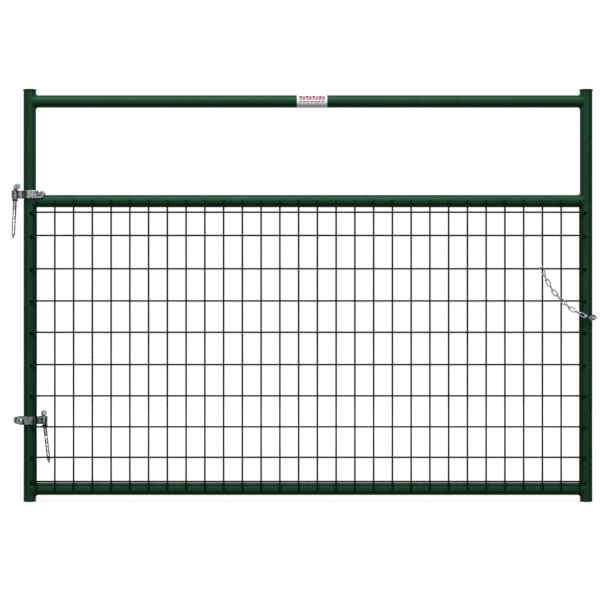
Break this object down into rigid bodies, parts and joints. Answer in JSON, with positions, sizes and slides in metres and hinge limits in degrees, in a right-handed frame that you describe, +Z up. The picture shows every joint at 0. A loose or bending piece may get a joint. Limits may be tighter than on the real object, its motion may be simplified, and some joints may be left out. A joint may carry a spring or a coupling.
{
  "type": "livestock gate leaf",
  "caption": "Tube framed gate leaf for livestock pens with a welded wire panel, bolt-on barrel hinges, lag hooks and a latch chain.",
  "frame": {"origin": "on the hinge line, the axis of the upper clamp barrel, level with the feet of the uprights", "axes": "+X from the hinge line towards the latch upright, +Z up, -Y towards the side that carries the wire panel"},
  "size_m": [1.8062, 0.079, 1.27],
  "materials": {
    "green_paint": "gloss dark green powder coat",
    "wire_paint": "gloss very dark green powder coat",
    "zinc": "bright zinc plating",
    "black_plastic": "satin black plastic",
    "black_rubber": "matte black rubber",
    "label_vinyl": "white vinyl label with plain bars"
  },
  "bodies": {
    "leaf": {"hinge_upright": "green_paint", "latch_upright": "green_paint", "top_rail": "green_paint", "middle_rail": "green_paint", "bottom_rail": "green_paint", "hinge_upright_cap": "black_plastic", "latch_upright_cap": "black_plastic", "wire_panel": "wire_paint", "label": "label_vinyl", "chain_staple": "green_paint"},
    "upper_clamp": {"upper_clamp": "zinc", "upper_clamp_bolt": "zinc", "upper_clamp_nut": "zinc"},
    "upper_hook": {"upper_hook": "zinc", "upper_keeper_ring": "black_rubber"},
    "lower_clamp": {"lower_clamp": "zinc", "lower_clamp_bolt": "zinc", "lower_clamp_nut": "zinc"},
    "lower_hook": {"lower_hook": "zinc", "lower_keeper_ring": "black_rubber"},
    "link_01": {"chain_link_01": "zinc"},
    "link_02": {"chain_link_02": "zinc"},
    "link_03": {"chain_link_03": "zinc"},
    "link_04": {"chain_link_04": "zinc"},
    "link_05": {"chain_link_05": "zinc"},
    "link_06": {"chain_link_06": "zinc"},
    "link_07": {"chain_link_07": "zinc"},
    "link_08": {"chain_link_08": "zinc"},
    "link_09": {"chain_link_09": "zinc"},
    "link_10": {"chain_link_10": "zinc"},
    "link_11": {"chain_link_11": "zinc"},
    "link_12": {"chain_link_12": "zinc"},
    "link_13": {"chain_link_13": "zinc"},
    "end_hook": {"chain_end_hook": "zinc"}
  },
  "joints": [
    {"name": "upper_clamp_slide", "type": "slide", "parent": "leaf", "child": "upper_clamp", "axis": [0, 0, 1], "range_m": [0, 0.25]},
    {"name": "lower_clamp_slide", "type": "slide", "parent": "leaf", "child": "lower_clamp", "axis": [0, 0, 1], "range_m": [-0.002, 0.038]},
    {"name": "upper_hook_turn", "type": "hinge", "parent": "upper_clamp", "child": "upper_hook", "pos_m": [0, 0, 0.946], "axis": [0, 0, 1], "range_deg": [-240, 30]},
    {"name": "lower_hook_turn", "type": "hinge", "parent": "lower_clamp", "child": "lower_hook", "pos_m": [0.08672, 0.01686, 0.2505], "axis": [0, 0, 1], "range_deg": [-16, 240]},
    {"name": "link_01_swing", "type": "hinge", "parent": "leaf", "child": "link_01", "pos_m": [1.7876, 0, 0.5675], "axis": [0, 0, 1], "range_deg": [0, 90]},
    {"name": "link_02_swing", "type": "hinge", "parent": "link_01", "child": "link_02", "pos_m": [1.78113, -0.01597, 0.56531], "axis": [0.6359, -0.7675, -0.0807], "range_deg": [0, 20]},
    {"name": "link_03_swing", "type": "hinge", "parent": "link_02", "child": "link_03", "pos_m": [1.76702, -0.02773, 0.56723], "axis": [0.2256, 0.1879, 0.9559], "range_deg": [0, 40]},
    {"name": "link_04_swing", "type": "hinge", "parent": "link_03", "child": "link_04", "pos_m": [1.75086, -0.03456, 0.57249], "axis": [-0.1257, 0.9857, -0.1124], "range_deg": [-40, 0]},
    {"name": "link_05_swing", "type": "hinge", "parent": "link_04", "child": "link_05", "pos_m": [1.73387, -0.03596, 0.57984], "axis": [0.4798, 0.0398, 0.8765], "range_deg": [0, 40]},
    {"name": "link_06_swing", "type": "hinge", "parent": "link_05", "child": "link_06", "pos_m": [1.71766, -0.03739, 0.58875], "axis": [0.0075, 0.9968, -0.0796], "range_deg": [-40, 40]},
    {"name": "link_07_swing", "type": "hinge", "parent": "link_06", "child": "link_07", "pos_m": [1.70214, -0.03657, 0.59882], "axis": [0.6664, -0.0354, 0.7447], "range_deg": [0, 40]},
    {"name": "link_08_swing", "type": "hinge", "parent": "link_07", "child": "link_08", "pos_m": [1.68826, -0.03734, 0.61116], "axis": [-0.0256, 0.9984, -0.0508], "range_deg": [-40, 20]},
    {"name": "link_09_swing", "type": "hinge", "parent": "link_08", "child": "link_09", "pos_m": [1.67474, -0.03708, 0.62388], "axis": [0.7516, -0.0143, 0.6595], "range_deg": [0, 40]},
    {"name": "link_10_swing", "type": "hinge", "parent": "link_09", "child": "link_10", "pos_m": [1.66246, -0.03743, 0.63785], "axis": [-0.0197, 0.9995, -0.0256], "range_deg": [-40, 40]},
    {"name": "link_11_swing", "type": "hinge", "parent": "link_10", "child": "link_11", "pos_m": [1.65094, -0.03732, 0.65239], "axis": [0.8532, -0.0084, 0.5216], "range_deg": [0, 40]},
    {"name": "link_12_swing", "type": "hinge", "parent": "link_11", "child": "link_12", "pos_m": [1.64124, -0.03747, 0.66825], "axis": [-0.0162, 0.9998, -0.0129], "range_deg": [-40, 40]},
    {"name": "link_13_swing", "type": "hinge", "parent": "link_12", "child": "link_13", "pos_m": [1.63235, -0.03741, 0.68458], "axis": [0.9005, -0.0058, 0.4348], "range_deg": [0, 40]},
    {"name": "end_hook_swing", "type": "hinge", "parent": "link_13", "child": "end_hook", "pos_m": [1.62426, -0.0375, 0.70133], "axis": [-0.0113, 0.9999, -0.004], "range_deg": [-40, 40]}
  ]
}
